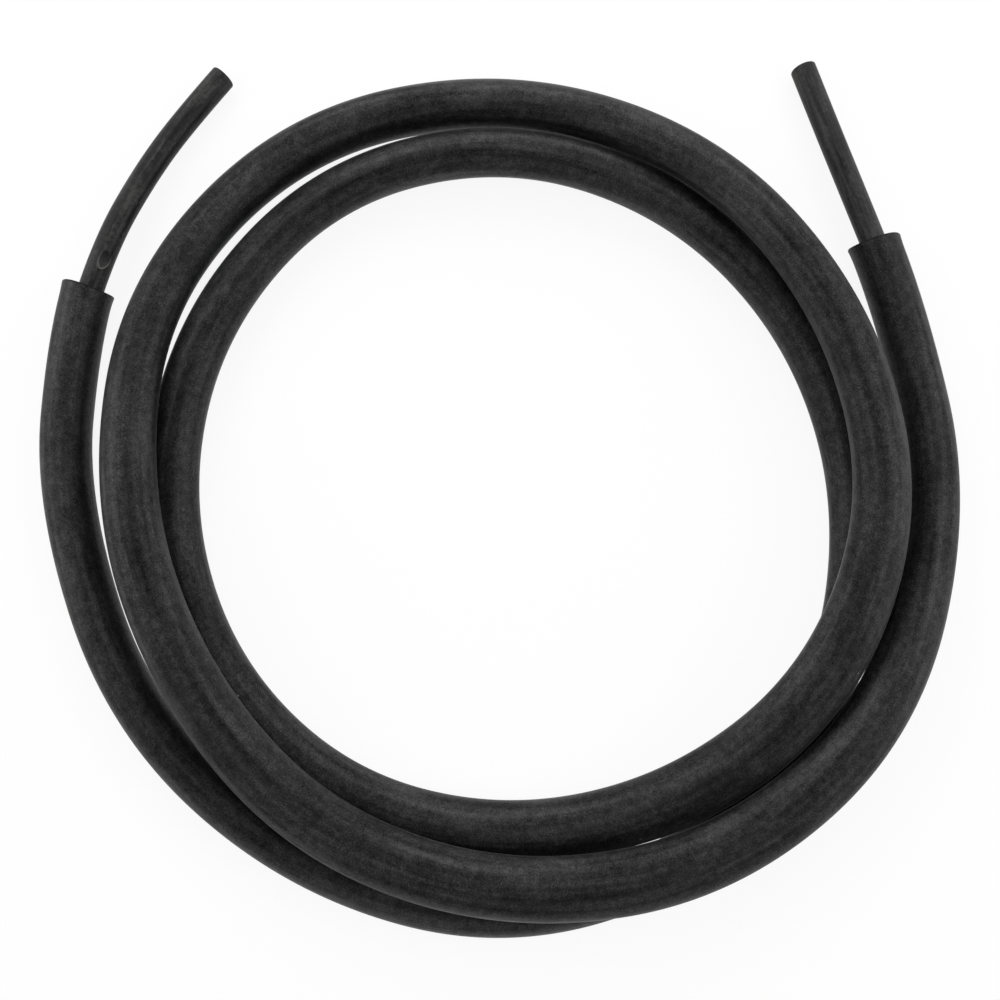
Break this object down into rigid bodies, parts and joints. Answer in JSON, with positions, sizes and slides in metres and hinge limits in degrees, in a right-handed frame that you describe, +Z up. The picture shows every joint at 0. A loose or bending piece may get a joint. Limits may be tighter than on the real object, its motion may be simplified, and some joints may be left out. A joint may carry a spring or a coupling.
{
  "type": "soaker hose",
  "caption": "Loosely coiled black soaker hose: a soft porous rubber sleeve over an inner water tube whose bare ends stand out of both cut ends of the sleeve.",
  "frame": {"origin": "on the floor, under the middle of the whole object's box", "axes": "+Z up from the floor; +Y the way the two ends point, +X to the right as seen from above with the ends at the top"},
  "size_m": [0.2851, 0.2713, 0.032],
  "materials": {
    "porous_rubber": "matte black extruded rubber with a faint grey bloom",
    "tube_rubber": "smooth matte black extruded rubber"
  },
  "bodies": {
    "root": {"outer_hose": "porous_rubber", "feed_tube": "tube_rubber"}
  },
  "joints": []
}
